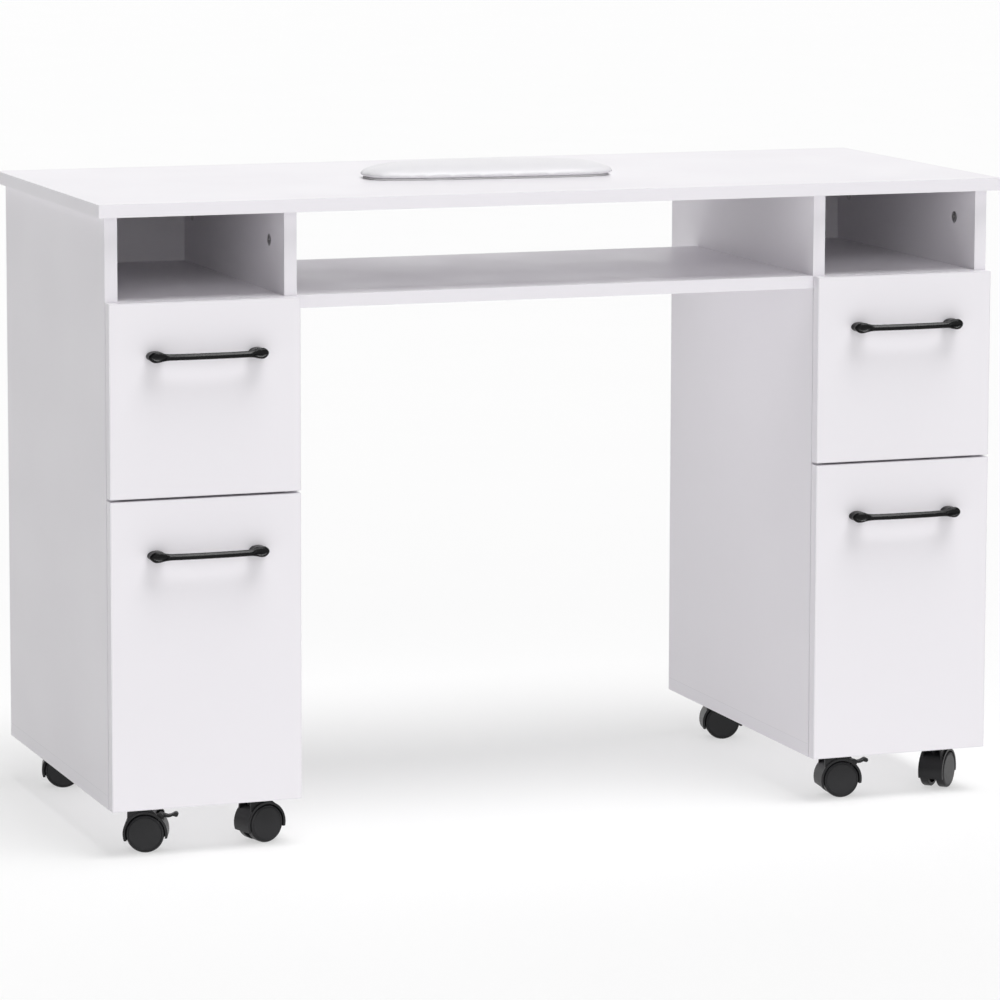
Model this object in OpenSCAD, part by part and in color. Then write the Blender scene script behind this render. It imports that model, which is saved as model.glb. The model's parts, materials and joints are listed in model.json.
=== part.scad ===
// Manicure table: two drawer pedestals on twin-wheel casters, a kneehole shelf between them,
// open cubbies under the worktop, bow handles and a loose domed wrist cushion.
// X is across the table, Y runs from the drawers' side to the back, Z is up. Millimetres.
// The origin is on the floor, at the middle of the whole table with its handles.

/* [Worktop] */
// Width of the worktop
top_w = 1200; // [1100:10:1300]
// Depth of the worktop
top_d = 500; // [480:5:560]
// Height of the worktop's upper face above the floor
top_z = 805; // [780:5:850]
// Thickness of every board
board = 16; // [15:0.5:18]

/* [Pedestals] */
// Outside width of each pedestal
ped_w = 243; // [235:1:270]
// Worktop overhang past each pedestal's outer side
side_over = 12; // [4:1:25]
// Worktop overhang past the carcass's front edges
front_over = 20; // [18:1:30]
// Height of the pedestals' underside above the floor
ped_z = 60; // [60:1:60]
// Clear height of the open cubby under the worktop
cubby_h = 104; // [90:1:120]
// Distance from the back edge to the front face of the inset back panel
back_in = 47; // [30:1:55]

/* [Kneehole shelf] */
// Depth of the shelf between the pedestals
shelf_d = 392; // [300:2:430]

/* [Drawers] */
// Gap between the front's inner face and the carcass
front_gap = 1; // [0.6:0.1:2]
// Gap between the two fronts of a pedestal
front_split = 3; // [2:0.5:5]
// Height of the upper front
upper_h = 239; // [220:1:245]
// How much narrower than its pedestal a front is, on each side
front_in = 0.5; // [0.2:0.1:1.5]
// Length of a drawer box
box_l = 400; // [380:5:410]
// Thickness of the drawer box sides and back
box_t = 12; // [10:1:14]
// Height of the upper drawer's box
upper_box_h = 150; // [120:5:160]
// Height of the lower drawer's box
lower_box_h = 260; // [220:5:280]
// Thickness of the drawer bottoms
floor_t = 3; // [3:0.5:4]
// Side space that one drawer runner takes
run_w = 10; // [9.5:0.5:12]
// Height of the runner's outer channel
run_h = 27; // [25:1:35]

/* [Handles] */
// Overall length of a handle
grip_l = 152; // [140:1:165]
// Distance between its two feet
grip_cc = 128; // [116:1:136]
// How far a handle stands out from the front
grip_out = 25; // [22:0.5:30]
// Drop from a front's top edge to the upper handle
grip_up = 65; // [50:1:80]
// Drop from a front's top edge to the lower handle
grip_lo = 67.5; // [50:1:90]

/* [Casters] */
// Radius of the wheels
wheel_r = 23.5; // [23.5:0.5:23.5]
// Distance of the casters from the pedestal's middle, across
cast_x = 74; // [68:1:80]
// Front casters: distance behind the carcass's front edge
cast_front = 30; // [28:1:60]
// Rear casters: distance ahead of the back edge
cast_rear = 54; // [42:1:70]
// Offset from the swivel axis to the axle
trail = 8; // [8:0.5:8]

/* [Wrist cushion] */
// Half length of the cushion
pad_a = 164.5; // [150:0.5:180]
// Half depth of the cushion
pad_b = 58; // [56:1:80]
// Height of the cushion
pad_h = 22.5; // [16:0.5:24]
// Cushion's middle, across, from the table's middle
pad_x = -21; // [-60:1:60]
// Cushion's middle, from the worktop's middle towards the back
pad_y = -8; // [-60:1:60]
// Turn of the loose cushion on the worktop, in degrees
pad_turn = -4.5; // [-15:0.5:15]

/* [Hidden] */
$fn = 48;
// heights
under_z = top_z - board;
cubby_z = under_z - cubby_h;
side_z = ped_z + board;
side_h = under_z - side_z;
// depths: the handles stand out in front, and the origin is half way
whole_d = top_d - front_over + front_gap + board + grip_out;
y_back = whole_d / 2;
y_top = y_back - top_d;
y_car = y_top + front_over;
y_front = y_car - front_gap - board;
car_d = top_d - front_over;
y_panel = y_back - back_in;
// widths
ped_in = ped_w - 2 * board;
ped_x = top_w / 2 - side_over - ped_w / 2;
knee_w = 2 * (ped_x - ped_w / 2);
box_w = ped_in - 2 * run_w;
// fronts and boxes, by height
upper_z1 = cubby_z - 0.5;
upper_z0 = upper_z1 - upper_h;
lower_z1 = upper_z0 - front_split;
lower_z0 = ped_z;
upper_box_z = upper_z0 + 15;
lower_box_z = side_z + 14;
groove = 5;
groove_up = 10;
fit_gap = 0.1;
upper_run_z = upper_box_z + 45;
lower_run_z = lower_box_z + 80;
// furniture connectors: a cam in one board holds the head of a bolt from the next
cam_r = 7.5;
cam_deep = 12.5;
cam_down = 41;
cam_set = 34;
cam_y0 = y_car + 62;
cam_y1 = y_panel - 35;
bolt_bite = 11;
// caster shapes
axle_r = 2.5;
stem_r = 3.5;
run_fit = 0.05;
web_w = 10;
wheel_w = 11.4;
hood_w = 33;
hood_r = wheel_r + 4.2;
hood_in = wheel_r + 1.2;
hood_top = ped_z - 4.5;
hood_low = 16;
plate_t = 2;
plate_a = 42;
plate_hole = 31;
lever_w = 9;
pivot_x = 18;
pivot_z = 21.5;
// each caster: pedestal, side, end, turn at rest, and whether it has a brake
CASTERS = [[-1, -1, -1, -20, true], [-1, 1, -1, 16, false],
           [-1, -1, 1, -15, false], [-1, 1, 1, 24, false],
           [1, -1, -1, -6, true], [1, 1, -1, 45, false],
           [1, -1, 1, -14, false], [1, 1, 1, 8, false]];
// each connector: middle of the cam's face, way the cam's face looks, way the bolt goes,
// and how far along it the next board starts
function side_cams(s, t) = let(x = s * ped_x + t * (ped_w / 2 - board))
  [for (y = [cam_y0, cam_y1]) each
    [[[x, y, under_z - cam_down], [-t, 0, 0], [0, 0, 1], cam_down],
     [[x, y, side_z + cam_set], [-t, 0, 0], [0, 0, -1], cam_set]]];
function floor_cams(s, t) = let(x = s * ped_x + t * (ped_w / 2 - board - cam_set))
  [for (y = [cam_y0, cam_y1]) [[x, y, cubby_z - board], [0, 0, -1], [t, 0, 0], cam_set]];
function shelf_cams(t) =
  [for (y = [cam_y0 + 20, cam_y0 + 270])
    [[t * (knee_w / 2 - cam_set), y, cubby_z - board], [0, 0, -1], [t, 0, 0], cam_set]];
CAMS = [for (s = [-1, 1], t = [-1, 1]) each concat(side_cams(s, t), floor_cams(s, t)),
        each shelf_cams(-1), each shelf_cams(1)];

// ---- shared shapes ----

module box_at(x, y, z, w, d, h) {
  translate([x, y, z]) cube([w, d, h]);
}

// turns the Z axis to one of the row axes
module aim(v) {
  rotate(v[2] > 0 ? [0, 0, 0] : v[2] < 0 ? [180, 0, 0] : [0, v[0] * 90, 0]) children();
}

// a round bar between two Y positions
module bar_y(x, z, r, y0, y1) {
  translate([x, y1, z]) rotate([90, 0, 0]) cylinder(h = y1 - y0, r = r);
}

// a closed skin over rings of points that all have the same number of points
module skin(rings) {
  n = len(rings[0]);
  m = len(rings);
  polyhedron(
    points = [for (r = rings) each r],
    faces = concat(
      [[for (i = [0:n - 1]) i]],
      [for (j = [0:m - 2], i = [0:n - 1]) let(k = (i + 1) % n) [j * n + i, (j + 1) * n + i, j * n + k]],
      [for (j = [0:m - 2], i = [0:n - 1]) let(k = (i + 1) % n)
        [j * n + k, (j + 1) * n + i, (j + 1) * n + k]],
      [[for (i = [n - 1:-1:0]) (m - 1) * n + i]]));
}

function spow(v, e) = sign(v) * pow(abs(v), e);

// ---- connectors ----

// the cam's pocket, the bolt's hole and its bite in the next board
module cam_cuts() {
  for (c = CAMS) translate(c[0]) {
    aim(-c[1]) translate([0, 0, -1]) cylinder(h = cam_deep + 1.1, r = cam_r + fit_gap);
    translate(-c[1] * board / 2) aim(c[2]) {
      cylinder(h = c[3] + 0.01, r = 4);
      translate([0, 0, c[3]]) cylinder(h = bolt_bite + 0.3, r = 3.05);
    }
  }
}

module cam_locks() {
  color([0.72, 0.72, 0.7])
  for (c = CAMS) translate(c[0]) difference() {
    aim(-c[1]) cylinder(h = cam_deep, r = cam_r);
    translate(-c[1] * board / 2) aim(c[2]) translate([0, 0, -4.5]) cylinder(h = 14, r = 3.9);
    aim(-c[1]) {
      translate([-4, -0.6, -1]) cube([8, 1.2, 2.6]);
      translate([-0.6, -4, -1]) cube([1.2, 8, 2.6]);
    }
  }
}

module cam_bolts() {
  color([0.8, 0.8, 0.78])
  for (c = CAMS) translate(c[0] - c[1] * board / 2) aim(c[2]) {
    translate([0, 0, -2]) cylinder(h = 3, r = 3.5);
    translate([0, 0, 0.9]) cylinder(h = 6.2, r = 2.3);
    translate([0, 0, 7]) cylinder(h = c[3] - 7.02, r = 3.5);
    translate([0, 0, c[3] - 0.5]) cylinder(h = bolt_bite + 0.5, r = 3);
  }
}

// ---- boards ----

module board_block(x, y, z, w, d, h) {
  color([0.94, 0.935, 0.945]) difference() {
    box_at(x, y, z, w, d, h);
    cam_cuts();
    caster_screw_holes();
  }
}

module table_top() {
  board_block(-top_w / 2, y_top, under_z, top_w, top_d, board);
}

module kneehole_shelf() {
  board_block(-knee_w / 2, y_car, cubby_z - board, knee_w, shelf_d, board);
}

// t is -1 for the board towards -X and 1 for the one towards +X
module side_board(s, t) {
  x = s * ped_x + t * (ped_w - board) / 2 - board / 2;
  board_block(x, y_car, side_z, board, car_d, side_h);
}

module bottom_board(s) {
  board_block(s * ped_x - ped_w / 2, y_car, ped_z, ped_w, car_d, board);
}

module cubby_floor(s) {
  board_block(s * ped_x - ped_in / 2, y_car, cubby_z - board, ped_in, y_panel - y_car, board);
}

module back_panel(s) {
  board_block(s * ped_x - ped_in / 2, y_panel, side_z, ped_in, board, side_h);
}

// ---- drawers ----

// a channel's outline: closed at x = 0 and open towards +X, with its lips turned in
module channel(w, h, t, lip) {
  difference() {
    translate([0, -h / 2]) square([w, h]);
    translate([t, -h / 2 + t]) square([w - 2 * t, h - 2 * t]);
    translate([w / 2, -h / 2 + t + lip]) square([w, h - 2 * t - 2 * lip]);
  }
}

// both outer channels of one drawer, fixed to the pedestal's sides
module outer_runners(s, z) {
  for (t = [-1, 1]) translate([s * ped_x + t * ped_in / 2, y_car + 3 + box_l - 6, z])
    rotate([90, 0, 0]) linear_extrude(box_l - 6)
      scale([-t, 1]) channel(run_w - 1.6, run_h, 1.2, 2);
}

// both inner channels, fixed to the drawer's sides
module inner_runners(s, z) {
  color([0.74, 0.75, 0.77])
  for (t = [-1, 1]) translate([s * ped_x + t * box_w / 2, y_car + 5 + box_l - 8, z])
    rotate([90, 0, 0]) linear_extrude(box_l - 8)
      difference() {
        translate([t > 0 ? 0 : -(run_w - 2.6), -8.6]) square([run_w - 2.6, 17.2]);
        translate([t > 0 ? 1.2 : -(run_w - 1.6), -7.4]) square([run_w - 2.8, 14.8]);
      }
}

module cabinet_runners() {
  color([0.7, 0.71, 0.73])
  for (s = [-1, 1], z = [upper_run_z, lower_run_z]) outer_runners(s, z);
}

module drawer_front(s, z0, z1, box_z) {
  color([0.95, 0.945, 0.955]) difference() {
    box_at(s * ped_x - ped_w / 2 + front_in, y_front, z0, ped_w - 2 * front_in, board, z1 - z0);
    // the groove for the drawer's bottom
    translate([s * ped_x - box_w / 2 + box_t - groove, y_front + board - groove, box_z + groove_up])
      cube([box_w - 2 * box_t + 2 * groove, groove + 1, floor_t + 2 * fit_gap]);
  }
}

module box_sides(s, z, h) {
  color([0.93, 0.93, 0.935])
  for (t = [-1, 1]) difference() {
    box_at(s * ped_x + t * (box_w - box_t) / 2 - box_t / 2, y_front + board, z,
           box_t, box_l, h);
    box_at(s * ped_x - box_w / 2 + box_t - groove, y_front, z + groove_up,
           box_w - 2 * box_t + 2 * groove, box_l + 40, floor_t + 2 * fit_gap);
  }
}

module box_back(s, z, h) {
  up = groove_up + floor_t + 2 * fit_gap;
  color([0.93, 0.93, 0.935])
  box_at(s * ped_x - box_w / 2 + box_t, y_front + board + box_l - box_t, z + up,
         box_w - 2 * box_t, box_t, h - up);
}

module box_bottom(s, z) {
  w = box_w - 2 * box_t + 2 * (groove - fit_gap);
  color([0.9, 0.9, 0.905])
  box_at(s * ped_x - w / 2, y_front + board - groove + fit_gap, z + groove_up + fit_gap,
         w, box_l + groove - fit_gap, floor_t);
}

// ---- handles ----

// at u, from 0 at the middle to 1 at the tip: how far out, how thick and how tall the bar is
function grip_swell(u) = exp(-pow((u - 0.88) / 0.12, 2));
function grip_tip(u) = sqrt(max(0.0004, 1 - pow(max(0, (u - 0.9) / 0.1), 2)));
function grip_mid(u) = grip_out - 3.7 - 7.6 * pow(u, 2.6);
function grip_half_y(u) = (3.7 + 0.3 * grip_swell(u)) * grip_tip(u);
function grip_half_z(u) = (3.9 + 2.8 * grip_swell(u)) * grip_tip(u);
function grip_ring(x) = let(u = abs(x) * 2 / grip_l)
  [for (i = [0:19]) let(a = 18 * i)
    [x, -grip_mid(u) + grip_half_y(u) * spow(cos(a), 0.8), grip_half_z(u) * spow(sin(a), 0.8)]];

// a foot's outline, an oval at distance y from the drawer front
function foot_ring(y, half_x, half_z) =
  [for (i = [0:23]) [half_x * cos(15 * i), -y, half_z * sin(15 * i)]];

module handle(s, z) {
  half = grip_l / 2;
  stops = [1, 0.993, 0.975, 0.945, 0.91, 0.87, 0.83, 0.79, 0.74, 0.68, 0.6, 0.45, 0.25];
  xs = concat([for (u = stops) -u * half], [0], [for (i = [len(stops) - 1:-1:0]) stops[i] * half]);
  color([0.06, 0.06, 0.065]) translate([s * ped_x, y_front, z]) {
    skin([for (x = xs) grip_ring(x)]);
    for (t = [-1, 1]) translate([t * (grip_cc / 2 + 0.6), 0, 0])
      skin([foot_ring(0, 10.4, 6), foot_ring(0.5, 10.9, 6.3), foot_ring(2, 10.9, 6.3),
            foot_ring(8, 10.3, 6.1), foot_ring(13.4, 10.6, 6.2)]);
  }
}

// ---- casters ----

function cast_pos(i) = let(c = CASTERS[i - 1])
  [c[0] * ped_x + c[1] * cast_x, c[2] < 0 ? y_car + cast_front : y_back - cast_rear, 0];

// a caster's own frame: origin under its swivel axis, X towards the axle
module at_caster(i) {
  translate(cast_pos(i)) rotate([0, 0, CASTERS[i - 1][3]]) children();
}

// the same, with the origin at the middle of the axle
module at_axle(i) {
  at_caster(i) translate([trail, 0, wheel_r]) children();
}

module plate_screw_spots() {
  for (i = [1:8]) translate(cast_pos(i))
    for (a = [-1, 1], b = [-1, 1])
      translate([a * plate_hole / 2, b * plate_hole / 2, ped_z]) children();
}

module caster_screw_holes() {
  plate_screw_spots() translate([0, 0, -1]) cylinder(h = 13.5, r = 1.8);
}

// the plates with their collars, and the stem pins riveted into them
module caster_plates() {
  color([0.66, 0.66, 0.68]) {
    difference() {
      for (i = [1:8]) translate(cast_pos(i)) {
        translate([-plate_a / 2, -plate_a / 2, ped_z - plate_t])
          cube([plate_a, plate_a, plate_t]);
        translate([0, 0, hood_top + 0.2]) cylinder(h = ped_z - plate_t - hood_top, r = 11);
      }
      plate_screw_spots() translate([0, 0, -plate_t - 1]) cylinder(h = plate_t + 2, r = 2.1);
      for (i = [1:8]) translate(cast_pos(i)) cylinder(h = ped_z + 1, r = stem_r + run_fit);
    }
    for (i = [1:8]) translate(cast_pos(i)) translate([0, 0, 32])
      cylinder(h = ped_z - 32.1, r = stem_r);
  }
}

module caster_screws() {
  color([0.78, 0.78, 0.8])
  plate_screw_spots() {
    translate([0, 0, -plate_t - 1.7]) cylinder(h = 1.7, r = 3.4);
    translate([0, 0, -plate_t - 0.5]) cylinder(h = 14, r = 1.7);
  }
}

// the room that the two wheels turn in, on both sides of the web
module wheel_room() {
  for (t = [-1, 1]) bar_y(0, 0, hood_in, t > 0 ? web_w / 2 : -hood_w, t > 0 ? hood_w : -web_w / 2);
}

// the block over the wheels that holds the stem, narrower towards its top
module hood_neck(top) {
  low = hood_w / 2 - 0.9;
  high = hood_w / 2 - 3.4;
  intersection() {
    translate([0, hood_w / 2, 0]) rotate([90, 0, 0]) linear_extrude(hood_w)
      polygon([[-22, 2], [-22, top], [5, top], [14, 24], [14, 2]]);
    translate([-40, 0, 0]) rotate([90, 0, 90]) linear_extrude(80)
      polygon([[-low, 0], [low, 0], [low, 12], [high, top + 0.01], [-high, top + 0.01], [-low, 12]]);
  }
}

// the hollow in the neck's back, with the stem's boss left standing in it
module neck_pocket(top) {
  difference() {
    translate([-30, 0, 0]) rotate([90, 0, 90]) linear_extrude(22.5)
      polygon([[-12.6, 10], [12.6, 10], [10.9, top - 2], [-10.9, top - 2]]);
    bar_y(0, 0, hood_r, -20, 20);
    translate([-trail, 0, 0]) cylinder(h = 40, r = 6.2);
    translate([-13.6, 0, top - 13.5]) cylinder(h = 14, r1 = 0.6, r2 = 8.3);
  }
}

module caster_hood(i) {
  top = hood_top - wheel_r;
  color([0.075, 0.075, 0.08]) at_axle(i) difference() {
    union() {
      bar_y(0, 0, hood_r, -hood_w / 2, hood_w / 2);
      hood_neck(top);
      if (CASTERS[i - 1][4]) bar_y(pivot_x, pivot_z, 4.2, -13.4, 13.4);
    }
    neck_pocket(top);
    wheel_room();
    translate([0, 0, hood_low - wheel_r]) rotate([0, -4, 0]) translate([-60, -40, -60])
      cube([120, 80, 60]);
    translate([-trail, 0, 31 - wheel_r]) cylinder(h = 40, r = stem_r + run_fit);
    bar_y(0, 0, axle_r + run_fit, -web_w, web_w);
    if (CASTERS[i - 1][4]) {
      translate([0, 9.6, 0]) rotate([90, 0, 0]) linear_extrude(19.2)
        polygon([[12.8, 40], [12.8, 21.5], [14.3, 17.9], [18, 16.3], [45, 16.3], [45, 40]]);
      bar_y(pivot_x, pivot_z, 1.8 + run_fit, -12.2, 12.2);
    }
  }
}

// two wheels and the axle that they turn on
module caster_wheels(i) {
  y0 = web_w / 2 + 0.6;
  y1 = y0 + wheel_w;
  color([0.11, 0.11, 0.115]) at_axle(i) {
    for (t = [0, 180]) rotate([90, 0, t]) rotate_extrude()
      polygon([[axle_r + run_fit, y0], [6.5, y0], [7, y0 + 4.4], [18.5, y0 + 4.4], [19, y0],
               [wheel_r - 0.9, y0], [wheel_r, y0 + 0.9], [wheel_r, y1 - 2.2],
               [wheel_r - 0.7, y1 - 0.8], [wheel_r - 2, y1], [20.9, y1], [20.5, y1 - 0.45],
               [20.1, y1], [0, y1], [0, y1 - 2.6],
               [axle_r + run_fit, y1 - 2.6]]);
    bar_y(0, 0, axle_r, -y1 + 2.8, y1 - 2.8);
  }
}

module brake_lever(i) {
  color([0.07, 0.07, 0.075]) at_axle(i) {
    bar_y(pivot_x, pivot_z, 2.4, -9, 9);
    bar_y(pivot_x, pivot_z, 1.8, -12, 12);
    bar_y(pivot_x + 3.1 * cos(246), pivot_z + 3.1 * sin(246), 1.2, -9, 9);
    translate([0, lever_w / 2, 0]) rotate([90, 0, 0]) linear_extrude(lever_w)
      polygon([[16.9, 23.4], [20, 23.8], [23.5, 22.3], [27, 21.1], [30.5, 21.6], [33.4, 22.9],
               [35.3, 24.1], [37.4, 24.5], [39.4, 23.6], [40.2, 21.6], [39.4, 19.6], [37.4, 18.8],
               [35.2, 19.6], [33.4, 20], [30.8, 18.8], [27.5, 18.1], [23.5, 18.4], [19.8, 20]]);
  }
}

// ---- wrist cushion ----

// a closed outline: squarer at the front, elliptical at the back
function pad_ring(k, z) = [for (i = [0:71]) let(a = 5 * i, e = sin(a) < 0 ? 0.45 : 1.05)
  [(pad_a - k) * spow(cos(a), e), (pad_b - k) * spow(sin(a), e), z]];

module wrist_cushion() {
  inset = 36;
  low = 4;
  color([0.96, 0.96, 0.97])
  translate([pad_x, y_top + top_d / 2 + pad_y, top_z]) rotate([0, 0, pad_turn])
    skin(concat([pad_ring(2.5, 0), pad_ring(0.6, 1.2), pad_ring(0, low)],
      [for (a = [10:10:80]) pad_ring(inset * (1 - cos(a)), low + (pad_h - 1 - low) * sin(a))],
      [pad_ring(inset, pad_h - 1), pad_ring(inset + 10, pad_h - 0.3), pad_ring(inset + 16, pad_h)]));
}

// ---- the nodes ----

table_top();
kneehole_shelf();
side_board(-1, -1);  // left_outer_side
side_board(-1, 1);  // left_inner_side
bottom_board(-1);  // left_bottom_board
cubby_floor(-1);  // left_cubby_floor
back_panel(-1);  // left_back_panel
side_board(1, 1);  // right_outer_side
side_board(1, -1);  // right_inner_side
bottom_board(1);  // right_bottom_board
cubby_floor(1);  // right_cubby_floor
back_panel(1);  // right_back_panel
cam_locks();
cam_bolts();
cabinet_runners();
caster_plates();
caster_screws();
wrist_cushion();

drawer_front(-1, upper_z0, upper_z1, upper_box_z);  // left_upper_front
box_sides(-1, upper_box_z, upper_box_h);  // left_upper_box_sides
box_back(-1, upper_box_z, upper_box_h);  // left_upper_box_back
box_bottom(-1, upper_box_z);  // left_upper_box_bottom
handle(-1, upper_z1 - grip_up);  // left_upper_handle
inner_runners(-1, upper_run_z);  // left_upper_runners
drawer_front(-1, lower_z0, lower_z1, lower_box_z);  // left_lower_front
box_sides(-1, lower_box_z, lower_box_h);  // left_lower_box_sides
box_back(-1, lower_box_z, lower_box_h);  // left_lower_box_back
box_bottom(-1, lower_box_z);  // left_lower_box_bottom
handle(-1, lower_z1 - grip_lo);  // left_lower_handle
inner_runners(-1, lower_run_z);  // left_lower_runners
drawer_front(1, upper_z0, upper_z1, upper_box_z);  // right_upper_front
box_sides(1, upper_box_z, upper_box_h);  // right_upper_box_sides
box_back(1, upper_box_z, upper_box_h);  // right_upper_box_back
box_bottom(1, upper_box_z);  // right_upper_box_bottom
handle(1, upper_z1 - grip_up);  // right_upper_handle
inner_runners(1, upper_run_z);  // right_upper_runners
drawer_front(1, lower_z0, lower_z1, lower_box_z);  // right_lower_front
box_sides(1, lower_box_z, lower_box_h);  // right_lower_box_sides
box_back(1, lower_box_z, lower_box_h);  // right_lower_box_back
box_bottom(1, lower_box_z);  // right_lower_box_bottom
handle(1, lower_z1 - grip_lo);  // right_lower_handle
inner_runners(1, lower_run_z);  // right_lower_runners

caster_hood(1);  // caster_1_hood
caster_wheels(1);  // caster_1_wheels
brake_lever(1);  // caster_1_brake_lever
caster_hood(2);  // caster_2_hood
caster_wheels(2);  // caster_2_wheels
caster_hood(3);  // caster_3_hood
caster_wheels(3);  // caster_3_wheels
caster_hood(4);  // caster_4_hood
caster_wheels(4);  // caster_4_wheels
caster_hood(5);  // caster_5_hood
caster_wheels(5);  // caster_5_wheels
brake_lever(5);  // caster_5_brake_lever
caster_hood(6);  // caster_6_hood
caster_wheels(6);  // caster_6_wheels
caster_hood(7);  // caster_7_hood
caster_wheels(7);  // caster_7_wheels
caster_hood(8);  // caster_8_hood
caster_wheels(8);  // caster_8_wheels
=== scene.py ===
import bpy
import bmesh
import json
import math
from mathutils import Matrix, Vector


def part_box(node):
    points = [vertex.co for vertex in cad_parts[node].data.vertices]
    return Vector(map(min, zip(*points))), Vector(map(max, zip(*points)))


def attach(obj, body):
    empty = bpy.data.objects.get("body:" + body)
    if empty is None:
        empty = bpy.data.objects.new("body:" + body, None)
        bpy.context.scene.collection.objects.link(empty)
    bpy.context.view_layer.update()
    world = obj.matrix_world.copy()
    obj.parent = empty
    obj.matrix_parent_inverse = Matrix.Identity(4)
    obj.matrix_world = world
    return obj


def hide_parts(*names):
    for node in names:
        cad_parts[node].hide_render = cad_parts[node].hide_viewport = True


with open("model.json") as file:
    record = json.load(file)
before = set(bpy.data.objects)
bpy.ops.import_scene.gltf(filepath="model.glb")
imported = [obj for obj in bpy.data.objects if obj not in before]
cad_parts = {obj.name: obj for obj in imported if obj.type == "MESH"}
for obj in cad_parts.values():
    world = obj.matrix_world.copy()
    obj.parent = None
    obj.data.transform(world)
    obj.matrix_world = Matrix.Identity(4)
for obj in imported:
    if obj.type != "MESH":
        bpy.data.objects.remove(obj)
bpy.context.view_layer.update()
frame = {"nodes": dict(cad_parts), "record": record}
NODES = frame["nodes"]
MM = 0.001

# ------------------------------------------------------------------ material nodes


class Mat:
    """A node material with one Principled shader, and short ways to add nodes. Scales are per metre,
    in the piece's own coordinates."""

    def __init__(self, name):
        self.m = bpy.data.materials.new(name)
        self.m.use_nodes = True
        self.t = self.m.node_tree
        self.t.nodes.clear()
        self.out = self.t.nodes.new("ShaderNodeOutputMaterial")
        self.p = self.t.nodes.new("ShaderNodeBsdfPrincipled")
        self.link(self.p.outputs[0], self.out.inputs["Surface"])
        self.coords = self.t.nodes.new("ShaderNodeTexCoord").outputs["Object"]

    def link(self, a, b):
        self.t.links.new(a, b)

    def put(self, socket, value):
        if isinstance(value, bpy.types.NodeSocket):
            self.link(value, socket)
        else:
            socket.default_value = value

    def set(self, **values):
        for key, value in values.items():
            self.put(self.p.inputs[key.replace("_", " ")], value)

    def noise(self, scale, detail=4.0, rough=0.5, distort=0.0, at=None):
        n = self.t.nodes.new("ShaderNodeTexNoise")
        n.inputs["Scale"].default_value = scale
        n.inputs["Detail"].default_value = detail
        n.inputs["Roughness"].default_value = rough
        n.inputs["Distortion"].default_value = distort
        self.link(at or self.coords, n.inputs["Vector"])
        return n.outputs["Fac"]

    def voronoi(self, scale, feature="F1"):
        n = self.t.nodes.new("ShaderNodeTexVoronoi")
        n.feature = feature
        n.inputs["Scale"].default_value = scale
        self.link(self.coords, n.inputs["Vector"])
        return n.outputs["Distance"]

    def stretch(self, scale):
        n = self.t.nodes.new("ShaderNodeMapping")
        n.inputs["Scale"].default_value = scale
        self.link(self.coords, n.inputs["Vector"])
        return n.outputs[0]

    def ramp(self, value, lo, hi, out_lo=0.0, out_hi=1.0):
        n = self.t.nodes.new("ShaderNodeMapRange")
        n.interpolation_type = "SMOOTHSTEP"
        n.clamp = True
        for key, v in (("Value", value), ("From Min", lo), ("From Max", hi),
                       ("To Min", out_lo), ("To Max", out_hi)):
            self.put(n.inputs[key], v)
        return n.outputs[0]

    def math(self, op, a, b):
        n = self.t.nodes.new("ShaderNodeMath")
        n.operation = op
        for socket, v in zip(n.inputs, (a, b)):
            self.put(socket, v)
        return n.outputs[0]

    def mix(self, fac, a, b):
        n = self.t.nodes.new("ShaderNodeMix")
        n.data_type = "RGBA"
        for socket, v in ((n.inputs[0], fac), (n.inputs[6], a), (n.inputs[7], b)):
            if isinstance(v, tuple) and len(v) == 3:
                v = (*v, 1.0)
            self.put(socket, v)
        return n.outputs[2]

    def split(self, vector):
        n = self.t.nodes.new("ShaderNodeSeparateXYZ")
        self.link(vector, n.inputs[0])
        return n.outputs

    def bump(self, height, strength, distance, below=None):
        n = self.t.nodes.new("ShaderNodeBump")
        n.inputs["Strength"].default_value = strength
        n.inputs["Distance"].default_value = distance
        self.put(n.inputs["Height"], height)
        if below is not None:
            self.link(below, n.inputs["Normal"])
        return n.outputs[0]


# ------------------------------------------------------------------ materials

BOARD_WHITE = (0.85, 0.829, 0.864)
DRAWER_WHITE = (0.80, 0.795, 0.805)
EDGE_BAND = 0.8 * MM


def darker(tone, share):
    return tuple(c * share for c in tone)


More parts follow.
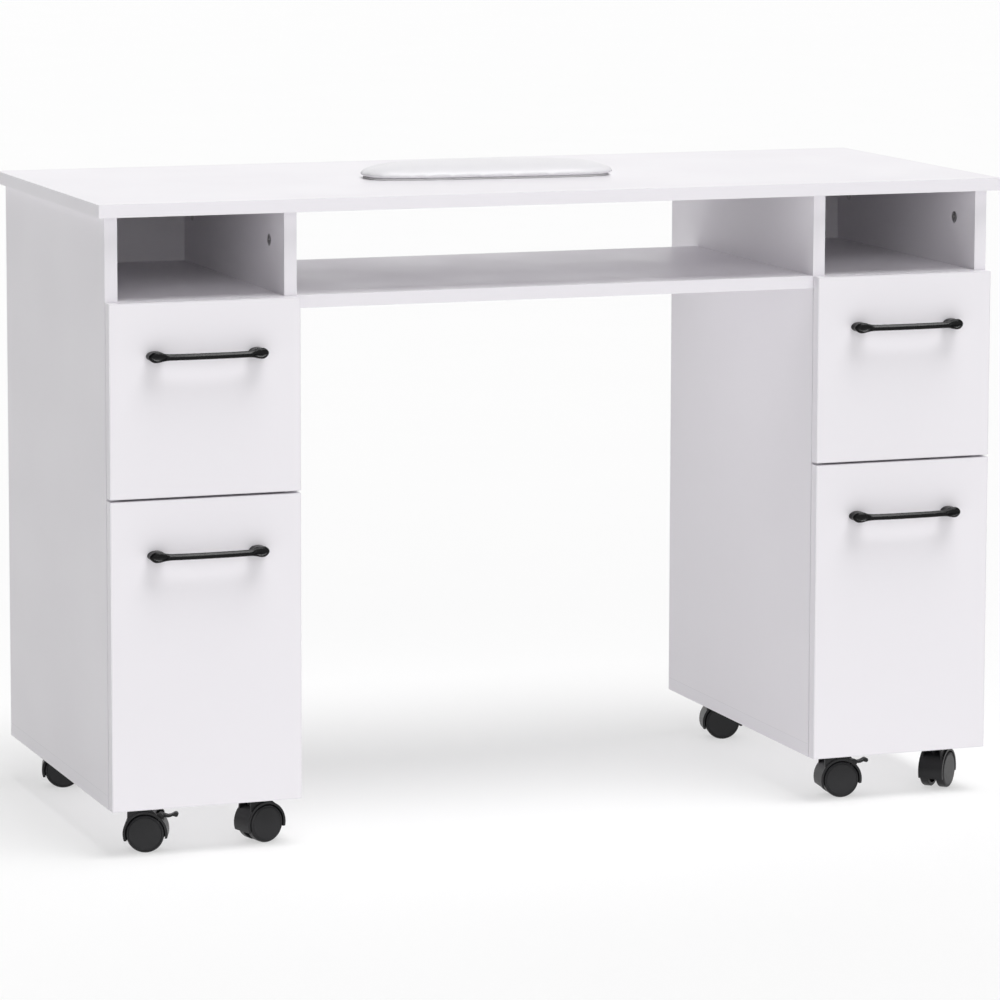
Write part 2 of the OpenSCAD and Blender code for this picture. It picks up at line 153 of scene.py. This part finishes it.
def board_material(name, tone, box=None, thin=None):
    """Melamine-faced board: a fine pearl texture and faint mottling. With the board's box and its
    thickness axis it also has an edge band and a glue line around its faces."""
    m = Mat(name)
    fine = m.noise(2600.0, 2.0, 0.6)
    soft = m.noise(9.0, 3.0, 0.5)
    cloud = m.noise(3.1, 2.0, 0.5)
    pits = m.ramp(m.voronoi(900.0), 0.05, 0.4)
    shade = m.ramp(soft, 0.35, 0.65, 0.985, 1.0)
    base = m.mix(m.ramp(cloud, 0.35, 0.65), darker(tone, 0.992), tone)
    base = m.mix(shade, darker(tone, 0.97), base)
    rough = m.ramp(soft, 0.3, 0.7, 0.34, 0.42)
    normal = m.bump(fine, 0.10, 0.05 * MM)
    normal = m.bump(pits, 0.05, 0.03 * MM, normal)
    if box:
        lo, hi = box
        xyz = m.split(m.coords)
        near = None
        for axis in range(3):
            if axis == thin:
                continue
            for edge, sign in ((lo[axis], 1.0), (hi[axis], -1.0)):
                gap = m.math("MULTIPLY", m.math("SUBTRACT", xyz[axis], edge), sign)
                near = gap if near is None else m.math("MINIMUM", near, gap)
        in_band = m.ramp(near, EDGE_BAND * 0.95, EDGE_BAND * 1.05, 1.0, 0.0)
        line = m.math("MULTIPLY", m.ramp(near, EDGE_BAND * 0.55, EDGE_BAND * 0.95),
                      m.ramp(near, EDGE_BAND * 1.05, EDGE_BAND * 1.45, 1.0, 0.0))
        base = m.mix(in_band, base, tuple(c * f for c, f in zip(tone, (0.985, 0.985, 0.99))))
        base = m.mix(m.math("MULTIPLY", line, 0.45), base, darker(tone, 0.62))
        rough = m.math("ADD", rough, m.math("MULTIPLY", in_band, -0.05))
    m.set(Base_Color=base, Roughness=rough, Normal=normal, IOR=1.46, Specular_IOR_Level=0.42)
    return m.m


def hardboard_material(name):
    """White-faced hardboard with a faint fibre grain."""
    m = Mat(name)
    fibre = m.noise(420.0, 6.0, 0.7, 0.6, m.stretch((1.0, 0.35, 1.0)))
    base = m.mix(m.ramp(fibre, 0.3, 0.7), (0.74, 0.735, 0.74), (0.80, 0.795, 0.80))
    m.set(Base_Color=base, Roughness=m.ramp(fibre, 0.3, 0.7, 0.55, 0.7),
          Normal=m.bump(fibre, 0.25, 0.1 * MM))
    return m.m


def metal_material(name, tone, rough, grain, scale):
    """Plated steel: a grain stretched along the way it was drawn, under a cloudy zinc bloom."""
    m = Mat(name)
    drawn = m.noise(scale, 3.0, 0.6, 0.0, m.stretch(grain))
    bloom = m.noise(60.0, 4.0, 0.6)
    base = m.mix(m.ramp(bloom, 0.3, 0.7), darker(tone, 0.86), tone)
    m.set(Base_Color=base, Metallic=1.0,
          Roughness=m.math("ADD", m.ramp(drawn, 0.3, 0.7, rough, rough + 0.12),
                           m.ramp(bloom, 0.35, 0.7, 0.0, 0.08)),
          Normal=m.bump(drawn, 0.15, 0.03 * MM))
    return m.m


def lighter(tone, times):
    return tuple(min(1, c * times) for c in tone)


def plastic_material(name, tone, rough, grain=1500.0, depth=0.05, scuff=0.6, spec=0.5):
    """Moulded plastic: a pebbled skin, depth mm deep, with paler scuffs and dust."""
    m = Mat(name)
    pebbles = m.voronoi(grain)
    wear = m.ramp(m.noise(170.0, 5.0, 0.65, 1.2), 0.56, 0.74)
    dust = m.ramp(m.noise(22.0, 3.0, 0.5), 0.4, 0.75)
    base = m.mix(m.math("MULTIPLY", wear, 0.35 * scuff), tone, lighter(tone, 2.2))
    base = m.mix(m.math("MULTIPLY", dust, 0.25 * scuff), base, lighter(tone, 1.5))
    m.set(Base_Color=base,
          Roughness=m.math("ADD", m.ramp(pebbles, 0.1, 0.6, rough - 0.03, rough + 0.05),
                           m.math("MULTIPLY", wear, 0.12)),
          Normal=m.bump(pebbles, 0.22, depth * MM), Specular_IOR_Level=spec)
    return m.m


def handle_material(name):
    """Satin black powder coat: a slight orange peel, a trace of wear."""
    m = Mat(name)
    peel = m.noise(950.0, 2.0, 0.5)
    speck = m.ramp(m.voronoi(1700.0), 0.0, 0.22, 1.0, 0.0)
    rub = m.ramp(m.noise(120.0, 4.0, 0.6, 0.8), 0.55, 0.75)
    base = m.mix(m.math("MULTIPLY", rub, 0.35), (0.0022, 0.0022, 0.0025), (0.007, 0.007, 0.008))
    base = m.mix(m.math("MULTIPLY", speck, 0.15), base, (0.03, 0.03, 0.032))
    m.set(Base_Color=base, Roughness=m.ramp(peel, 0.3, 0.7, 0.22, 0.30),
          Normal=m.bump(peel, 0.2, 0.05 * MM), Specular_IOR_Level=0.15)
    return m.m


def leather_material(name, tone):
    """White synthetic leather: a pebbled grain with fine creases, painted shade along the creases,
    and a soft sheen.
    """
    m = Mat(name)
    warp = m.noise(160.0, 2.0, 0.5)
    cells = m.voronoi(1150.0, "DISTANCE_TO_EDGE")
    creases = m.ramp(cells, 0.0, 0.16)
    fine = m.noise(3200.0, 2.0, 0.5)
    blotch = m.noise(14.0, 3.0, 0.5)
    base = m.mix(m.ramp(blotch, 0.35, 0.7), darker(tone, 0.985), tone)
    # painted shade: the colour is darkened along the grain's creases
    base = m.mix(m.ramp(creases, 0.0, 1.0, 0.12, 0.0), base, darker(tone, 0.8))
    normal = m.bump(creases, 0.32, 0.09 * MM)
    normal = m.bump(fine, 0.1, 0.03 * MM, normal)
    normal = m.bump(warp, 0.12, 0.4 * MM, normal)
    m.set(Base_Color=base, Roughness=m.ramp(creases, 0.0, 1.0, 0.5, 0.36), Normal=normal,
          Coat_Weight=0.12, Coat_Roughness=0.3, Specular_IOR_Level=0.45)
    return m.m


# ------------------------------------------------------------------ CAD nodes


def give(obj, material):
    obj.data.materials.clear()
    obj.data.materials.append(material)


def soften(obj, width):
    """Rounds a CAD node's sharp edges for their highlights, without touching its mesh."""
    b = obj.modifiers.new("edge", "BEVEL")
    b.width = width
    b.segments = 2
    b.limit_method = "ANGLE"
    b.angle_limit = math.radians(30)
    b.harden_normals = True
    b.use_clamp_overlap = True


SIDES = ("left", "right")
THIN_X, THIN_Y, THIN_Z = range(3)
BOARDS = {"table_top": THIN_Z, "kneehole_shelf": THIN_Z}
for side in SIDES:
    BOARDS.update({f"{side}_outer_side": THIN_X, f"{side}_inner_side": THIN_X,
                   f"{side}_bottom_board": THIN_Z, f"{side}_cubby_floor": THIN_Z,
                   f"{side}_back_panel": THIN_Y, f"{side}_upper_front": THIN_Y,
                   f"{side}_lower_front": THIN_Y})
for name, thin in BOARDS.items():
    give(NODES[name], board_material("melamine_" + name, BOARD_WHITE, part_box(name), thin))
    soften(NODES[name], 0.5 * MM)

drawer_board = board_material("drawer_board", DRAWER_WHITE)
hardboard = hardboard_material("hardboard")
runner_steel = metal_material("runner_steel", (0.66, 0.67, 0.69), 0.28, (1, 0.02, 1), 900.0)
zinc = metal_material("zinc_plate", (0.68, 0.68, 0.68), 0.32, (1, 1, 1), 500.0)
hood_plastic = plastic_material("hood_plastic", (0.0085, 0.0085, 0.0095), 0.36, spec=0.32)
wheel_plastic = plastic_material("wheel_plastic", (0.0105, 0.0105, 0.0115), 0.34, 1100.0, 0.04,
                                 spec=0.3)
powder_coat = handle_material("handle_powder_coat")
cushion_leather = leather_material("cushion_leather", (0.81, 0.80, 0.825))
# the cushion's base sheet: its grey is partly the sheet's own tone and partly painted contact shadow
# along the cushion's lower edge
base_sheet_and_contact_shade = plastic_material("cushion_base_sheet_and_contact_shade", (0.68, 0.675, 0.68), 0.75, 1900.0, 0.08, 0.12)
BY_SLOT = {"drawer_board": drawer_board, "hardboard": hardboard, "runner_steel": runner_steel,
           "zinc": zinc, "hood_plastic": hood_plastic, "wheel_plastic": wheel_plastic,
           "handle_black": powder_coat, "cushion_leather": cushion_leather}
BEVELS = {"hood_plastic": 0.8 * MM, "wheel_plastic": 0.35 * MM, "drawer_board": 0.4 * MM}
for part in frame["record"]["subparts"]:
    name, slot = part["node"], part["material_slot"]
    if slot in BY_SLOT:
        give(NODES[name], BY_SLOT[slot])
        if slot in BEVELS:
            soften(NODES[name], BEVELS[slot])

# ------------------------------------------------------------------ mesh helpers


def put_mesh(name, bm, material, smooth=35):
    """A new object from a bmesh, smooth-shaded below the given angle between its faces."""
    bmesh.ops.recalc_face_normals(bm, faces=bm.faces)
    mesh = bpy.data.meshes.new(name)
    bm.to_mesh(mesh)
    bm.free()
    obj = bpy.data.objects.new(name, mesh)
    bpy.context.scene.collection.objects.link(obj)
    for face in mesh.polygons:
        face.use_smooth = True
    mesh.set_sharp_from_angle(angle=math.radians(smooth))
    give(obj, material)
    return obj


def skin(bm, rings):
    """Joins rings of equal length into a closed skin with a face at each end."""
    rows = [[bm.verts.new(p) for p in ring] for ring in rings]
    n = len(rows[0])
    for a, b in zip(rows, rows[1:]):
        for i in range(n):
            bm.faces.new((a[i], a[(i + 1) % n], b[(i + 1) % n], b[i]))
    bm.faces.new(rows[0])
    bm.faces.new(rows[-1])


def turns(count):
    """Equal angles around a circle."""
    return [2 * math.pi * k / count for k in range(count)]


def spow(value, power):
    """A power that keeps the sign, for rounded-rectangle sections."""
    return math.copysign(abs(value) ** power, value)


def settle(obj):
    """Applies the object's modifiers to its mesh."""
    bpy.context.view_layer.update()
    depsgraph = bpy.context.evaluated_depsgraph_get()
    mesh = bpy.data.meshes.new_from_object(obj.evaluated_get(depsgraph))
    obj.modifiers.clear()
    obj.data = mesh


# ------------------------------------------------------------------ handles

# the handle in mm: the bar's half length, how far its face stands out and how far it bows back
# at the ends, its half thickness and half height, and where its posts and screws stand
GRIP_HALF, GRIP_OUT, GRIP_BOW = 76.0, 25.0, 7.6
BAR_Y, BAR_Z = 3.7, 3.9
POST_X, SCREW_X = 64.6, 64
# the oval pad near each end: its middle and half width as shares of the half length, and how much
# thicker and taller it is than the bar
END_PAD_AT, END_PAD_WIDE, END_PAD_Y, END_PAD_Z = 0.885, 0.125, 0.3, 2.8
# the dimple in the pad: its middle, its reach inwards and outwards, and its depth
DIMPLE_X, DIMPLE_IN, DIMPLE_OUT, DIMPLE_DEEP = 61, 7.5, 12.5, 2.5


def grip_ring(x):
    """One section of the bar: flat-faced in front with a low ridge, swelling to an oval pad near
    each end, where a spoon-shaped dimple is pressed into its front."""
    u = abs(x) / GRIP_HALF
    swell = math.exp(-((u - END_PAD_AT) / END_PAD_WIDE) ** 2)
    tip = math.sqrt(max(0.0, 1 - max(0.0, (u - 0.9) / 0.1) ** 2))
    middle = GRIP_OUT - BAR_Y - GRIP_BOW * u ** 2.6
    half_y, half_z = (BAR_Y + END_PAD_Y * swell) * tip, (BAR_Z + END_PAD_Z * swell) * tip
    ridge = 0.12 * half_z
    dx = (abs(x) - DIMPLE_X) / (DIMPLE_IN if abs(x) < DIMPLE_X else DIMPLE_OUT)
    ring = []
    for a in turns(44):
        out = half_y * spow(math.cos(a), 0.78)
        z = half_z * spow(math.sin(a), 0.86)
        if out > 0:
            lean = 0.50 * (z - ridge) if z > ridge else 0.14 * (ridge - z)
            out = min(out, half_y - lean * (1 - 0.75 * swell))
            reach = 1 - dx * dx - (z / (0.72 * half_z + 0.01)) ** 2
            if reach > 0:
                out -= DIMPLE_DEEP * reach ** 0.7
        ring.append((x, -(middle + out), z))
    return ring


# the post behind each end of the bar: distance from the front, half width, half height
POST_PROFILE = ((0, 10.4, 6.0), (0.5, 10.9, 6.3), (2.0, 10.9, 6.3), (7.0, 10.3, 6.1),
                (11.0, 10.2, 6.1), (13.0, 10.6, 6.25), (14.2, 11.0, 6.4))


def grip_post(bm, x):
    """The oval post behind one end of the bar, with a small fillet where it meets the bar."""
    skin(bm, [[(x + half_x * math.cos(a), -out, half_z * math.sin(a)) for a in turns(40)]
              for out, half_x, half_z in POST_PROFILE])


def make_handle(name, place, body, node):
    """A bow handle with its middle at place, on the front's face. It stands in for the CAD node."""
    bm = bmesh.new()
    steps = 60
    shares = [math.sin(math.pi / 2 * i / steps) for i in range(-steps, steps + 1)]
    skin(bm, [grip_ring(GRIP_HALF * 0.9995 * share) for share in shares])
    for t in (-1, 1):
        grip_post(bm, t * POST_X)
    bmesh.ops.scale(bm, vec=(MM, MM, MM), verts=bm.verts)
    bmesh.ops.translate(bm, vec=place, verts=bm.verts)
    obj = put_mesh(name, bm, powder_coat, 50)
    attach(obj, body)
    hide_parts(node)
    return obj


def screw_head():
    """A pan head of 8 mm with a cross recess, in mm, its flat side at Y 0, its crown towards +Y."""
    bm = bmesh.new()
    profile = ((3.6, 0.0), (4.0, 0.25), (4.0, 0.9), (3.75, 1.6), (3.2, 2.2), (2.2, 2.65), (1.1, 2.8))
    skin(bm, [[(r * math.cos(a), y, r * math.sin(a)) for a in turns(32)] for r, y in profile])
    head = put_mesh("screw_head", bm, zinc, 40)
    bm = bmesh.new()
    w, r, deep = 0.45, 2.1, 1.2
    outline = [(w, w), (w, r), (-w, r), (-w, w), (-r, w), (-r, -w), (-w, -w), (-w, -r), (w, -r),
               (w, -w), (r, -w), (r, w)]
    skin(bm, [[(x, 4, z) for x, z in outline], [(0.75 * x, deep, 0.75 * z) for x, z in outline]])
    cutter = put_mesh("screw_cutter", bm, zinc)
    cut = head.modifiers.new("cut", "BOOLEAN")
    cut.operation = "DIFFERENCE"
    cut.solver = "EXACT"
    cut.object = cutter
    settle(head)
    bpy.data.objects.remove(cutter)
    return head


screw = screw_head()
handles = []
for side in SIDES:
    for level in ("upper", "lower"):
        part = f"{side}_{level}"
        body = part + "_drawer"
        lo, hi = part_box(part + "_handle")
        face, back = (corner[1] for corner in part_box(part + "_front"))
        place = Vector(((lo[0] + hi[0]) / 2, face, (lo[2] + hi[2]) / 2))
        handles.append(make_handle(part + "_bow_handle", place, body, part + "_handle"))
        bm = bmesh.new()
        for t in (-1, 1):
            one = screw.data.copy()
            one.transform(Matrix.Translation((place.x + t * SCREW_X * MM, back, place.z))
                          @ Matrix.Rotation(0.5 + t, 4, "Y") @ Matrix.Scale(MM, 4))
            bm.from_mesh(one)
        heads = put_mesh(part + "_handle_screws", bm, zinc, 40)
        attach(heads, body)
bpy.data.objects.remove(screw)

# ------------------------------------------------------------------ wrist cushion

PAD_LO, PAD_HI = (Vector(v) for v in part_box("wrist_cushion"))
PAD_MID = (PAD_LO + PAD_HI) / 2
BASE_T = 2.0 * MM
CLOTH_FRAMES = 20
CLOTH_CAP = 6 * MM


def extent(points):
    """The lowest and the highest x, y and z of some points."""
    return [[pick(p[k] for p in points) for k in range(3)] for pick in (min, max)]


def make_cushion():
    """The stuffed cover: it starts a little small, is blown up by a cloth simulation with its
    underside held, and is then kept inside the room of its CAD solid."""
    mesh = NODES["wrist_cushion"].data.copy()
    obj = bpy.data.objects.new("wrist_cushion_cover", mesh)
    bpy.context.scene.collection.objects.link(obj)
    floor_z = PAD_LO.z + BASE_T
    tall = PAD_HI.z - PAD_LO.z
    for v in mesh.vertices:
        v.co.x = PAD_MID.x + (v.co.x - PAD_MID.x) * 0.982
        v.co.y = PAD_MID.y + (v.co.y - PAD_MID.y) * 0.965
        v.co.z = floor_z + (v.co.z - PAD_LO.z) / tall * (tall - BASE_T) * 0.86
    remesh = obj.modifiers.new("remesh", "REMESH")
    remesh.mode = "VOXEL"
    remesh.voxel_size = 3.2 * MM
    settle(obj)
    start = [v.co.copy() for v in obj.data.vertices]
    held = obj.vertex_groups.new(name="held")
    for v in obj.data.vertices:
        up = (v.co.z - floor_z) / MM
        held.add([v.index], max(0.0, min(1.0, (3.2 - up) / 2.0)), "REPLACE")
    cloth = obj.modifiers.new("cloth", "CLOTH")
    cs = cloth.settings
    cs.quality = 6
    cs.mass = 0.25
    cs.tension_stiffness = cs.compression_stiffness = 12
    cs.shear_stiffness = 6
    cs.bending_stiffness = 1.2
    cs.use_pressure = True
    cs.uniform_pressure_force = 4.0
    cs.effector_weights.gravity = 0
    cs.vertex_group_mass = "held"
    cloth.collision_settings.use_collision = False
    cloth.point_cache.frame_start, cloth.point_cache.frame_end = 1, CLOTH_FRAMES
    for f in range(1, CLOTH_FRAMES + 1):
        bpy.context.scene.frame_set(f)
        bpy.context.view_layer.update()
    settle(obj)
    bpy.context.scene.frame_set(1)
    for v, first in zip(obj.data.vertices, start):
        move = v.co - first
        if move.length > CLOTH_CAP:
            v.co = first + move.normalized() * CLOTH_CAP
    bm = bmesh.new()
    bm.from_mesh(obj.data)
    for _ in range(6):
        bmesh.ops.smooth_vert(bm, verts=bm.verts, factor=0.5, use_axis_x=True, use_axis_y=True,
                              use_axis_z=True)
    bm.to_mesh(obj.data)
    bm.free()
    lo, hi = extent([v.co for v in obj.data.vertices])
    room_lo, room_hi = (PAD_LO.x, PAD_LO.y, floor_z), tuple(PAD_HI)
    for v in obj.data.vertices:
        for k in range(3):
            share = (v.co[k] - lo[k]) / (hi[k] - lo[k])
            v.co[k] = room_lo[k] + share * (room_hi[k] - room_lo[k])
    sub = obj.modifiers.new("sub", "SUBSURF")
    sub.levels = sub.render_levels = 1
    settle(obj)
    for face in obj.data.polygons:
        face.use_smooth = True
    give(obj, cushion_leather)
    return obj


cushion = make_cushion()
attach(cushion, "carcass")
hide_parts("wrist_cushion")

# the outline of the CAD cushion's flat underside, in order around its middle
low = [v.co for v in NODES["wrist_cushion"].data.vertices if v.co.z < PAD_LO.z + 0.1 * MM]
RIM = sorted({(round(p.x, 6), round(p.y, 6)) for p in low if (p - PAD_MID).xy.length > 40 * MM},
             key=lambda q: math.atan2(q[1] - PAD_MID.y, q[0] - PAD_MID.x))


def rim_ring(inset, up):
    """The outline drawn in by inset, at the height up over the underside, both in mm."""
    ring = []
    for x, y in RIM:
        d = Vector((x - PAD_MID.x, y - PAD_MID.y))
        d -= d.normalized() * inset * MM
        ring.append((PAD_MID.x + d.x, PAD_MID.y + d.y, PAD_LO.z + up * MM))
    return ring


# the thin base sheet under the cushion, whose grey stands in partly for the contact shadow there
bm = bmesh.new()
skin(bm, [rim_ring(inset, up) for inset, up in ((1.9, 0.05), (1.4, 0.4), (1.4, 1.7), (1.9, 2.2))])
pad_base = put_mesh("wrist_cushion_base_and_contact_shade", bm, base_sheet_and_contact_shade, 40)
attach(pad_base, "carcass")

# ------------------------------------------------------------------ floor, light, camera

stage_mat = Mat("floor")
grain = stage_mat.noise(3.0, 2.0, 0.5)
stage_mat.set(Base_Color=stage_mat.mix(grain, (0.42, 0.42, 0.42), (0.43, 0.43, 0.43)),
              Roughness=0.8, Specular_IOR_Level=0.1,
              Emission_Color=(1.0, 1.0, 1.0, 1.0), Emission_Strength=0.53)
bpy.ops.mesh.primitive_plane_add(size=120, location=(0, 0, 0))
floor = bpy.context.object
floor.name = "floor"
give(floor, stage_mat.m)


def studio_world(base, lobes):
    """A soft white room: an even base, and wide bright areas, each (direction, from, to, strength)
    that fades in as the cosine to its direction goes between the two values."""
    world = bpy.data.worlds.new("studio")
    bpy.context.scene.world = world
    world.use_nodes = True
    tree = world.node_tree
    way = tree.nodes.new("ShaderNodeTexCoord").outputs["Generated"]
    total = None
    for direction, lo, hi, strength in lobes:
        dot = tree.nodes.new("ShaderNodeVectorMath")
        dot.operation = "DOT_PRODUCT"
        tree.links.new(way, dot.inputs[0])
        dot.inputs[1].default_value = Vector(direction).normalized()
        fade = tree.nodes.new("ShaderNodeMapRange")
        fade.interpolation_type = "SMOOTHSTEP"
        tree.links.new(dot.outputs["Value"], fade.inputs["Value"])
        for key, v in (("From Min", lo), ("From Max", hi), ("To Min", 0.0), ("To Max", strength)):
            fade.inputs[key].default_value = v
        add = tree.nodes.new("ShaderNodeMath")
        add.operation = "ADD"
        tree.links.new(fade.outputs[0], add.inputs[0])
        if total is None:
            add.inputs[1].default_value = base
        else:
            tree.links.new(total, add.inputs[1])
        total = add.outputs[0]
    tree.links.new(total, tree.nodes["Background"].inputs["Strength"])
    tree.nodes["Background"].inputs["Color"].default_value = (1.0, 1.0, 1.0, 1.0)


def sun(name, toward, strength, spread):
    data = bpy.data.lights.new(name, "SUN")
    data.energy = strength
    data.angle = math.radians(spread)
    lamp = bpy.data.objects.new(name, data)
    bpy.context.scene.collection.objects.link(lamp)
    lamp.rotation_euler = Vector(toward).to_track_quat("Z", "Y").to_euler()


def strip(name, place, aim, size, power, receivers):
    """A long softbox that lights the given objects only, for the streak along their upper edge."""
    data = bpy.data.lights.new(name, "AREA")
    data.shape = "RECTANGLE"
    data.size, data.size_y = size
    data.energy = power
    lamp = bpy.data.objects.new(name, data)
    bpy.context.scene.collection.objects.link(lamp)
    lamp.location = place
    lamp.rotation_euler = (Vector(place) - Vector(aim)).to_track_quat("Z", "Y").to_euler()
    group = bpy.data.collections.new(name + "_receivers")
    for obj in receivers:
        group.objects.link(obj)
    lamp.light_linking.receiver_collection = group


casters = [NODES[p["node"]] for p in frame["record"]["subparts"]
           if p["material_slot"] in ("hood_plastic", "wheel_plastic")]
strip("black_parts_strip", (2.17, -4.28, 4.64), (0, -0.25, 0.5), (6.0, 1.4), 480,
      handles + casters)
behind, in_front = (0.05, 0.98, 0.12), (-0.18, -0.98, 0.08)
studio_world(0.02, [(behind, 0.5, 0.95, 1.11), (in_front, 0.7, 0.98, 1.81)])
sun("key", (0.16, -0.24, 0.95), 2.55, 36)

# the lens and sensor in mm; the lens is shifted by shares of the picture's width, since the view
# is cut out of a larger one
CAM_POS = Vector((-2.1203, -5.8169, 1.3516))
CAM_YAW, CAM_PITCH, CAM_ROLL = -0.3621, -0.1243, 0.0043
LENS, SENSOR = 173.3832, 36.0
SHIFT_X, SHIFT_Y = -0.06, -0.1501
forward = Vector((-math.sin(CAM_YAW) * math.cos(CAM_PITCH),
                  math.cos(CAM_YAW) * math.cos(CAM_PITCH), math.sin(CAM_PITCH)))
level = Vector((math.cos(CAM_YAW), math.sin(CAM_YAW), 0.0))
upward = level.cross(forward)
right = math.cos(CAM_ROLL) * level + math.sin(CAM_ROLL) * upward
up = math.cos(CAM_ROLL) * upward - math.sin(CAM_ROLL) * level
cam_data = bpy.data.cameras.new("camera")
cam_data.sensor_width = SENSOR
cam_data.lens = LENS
cam_data.shift_x = SHIFT_X
cam_data.shift_y = SHIFT_Y
cam_data.clip_end = 200
cam = bpy.data.objects.new("camera", cam_data)
bpy.context.scene.collection.objects.link(cam)
cam.matrix_world = Matrix.Translation(CAM_POS) @ Matrix((right, up, -forward)).transposed().to_4x4()
bpy.context.scene.camera = cam

bpy.context.scene.view_settings.view_transform = "Standard"
bpy.context.scene.view_settings.look = "None"
